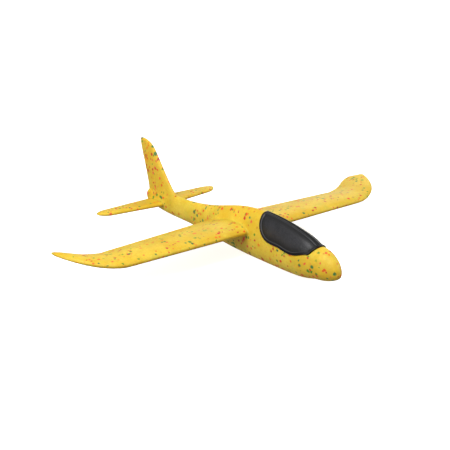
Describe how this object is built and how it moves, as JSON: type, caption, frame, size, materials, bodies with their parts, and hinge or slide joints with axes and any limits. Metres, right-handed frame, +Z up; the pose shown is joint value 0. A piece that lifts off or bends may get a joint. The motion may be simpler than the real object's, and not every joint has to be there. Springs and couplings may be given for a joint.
{
  "type": "toy airplane",
  "caption": "Bead-foam hand-launched toy glider with a slot-through wing with upturned tips, a slot-through tailplane, a one-piece fuselage and fin, and a black lift-off canopy.",
  "frame": {"origin": "centre of the overall length and span, at the height of the flat under the belly that the glider rests on", "axes": "+X towards the nose, +Y towards the port wing tip, +Z up"},
  "size_m": [0.3972, 0.4744, 0.1078],
  "materials": {
    "speckled_foam": "satin",
    "black_foam": "matte"
  },
  "bodies": {
    "airframe": {"fuselage": "speckled_foam"},
    "wing": {"main_wing": "speckled_foam"},
    "tail": {"tailplane": "speckled_foam"},
    "cockpit": {"canopy": "black_foam"}
  },
  "joints": [
    {"name": "wing_slide", "type": "slide", "parent": "airframe", "child": "wing", "axis": [0, 1, 0], "range_m": [-0.15, 0.15]},
    {"name": "tailplane_slide", "type": "slide", "parent": "airframe", "child": "tail", "axis": [0, 1, 0], "range_m": [-0.105, 0.105]},
    {"name": "canopy_lift", "type": "slide", "parent": "airframe", "child": "cockpit", "axis": [0, 0, 1], "range_m": [0, 0.045]}
  ]
}
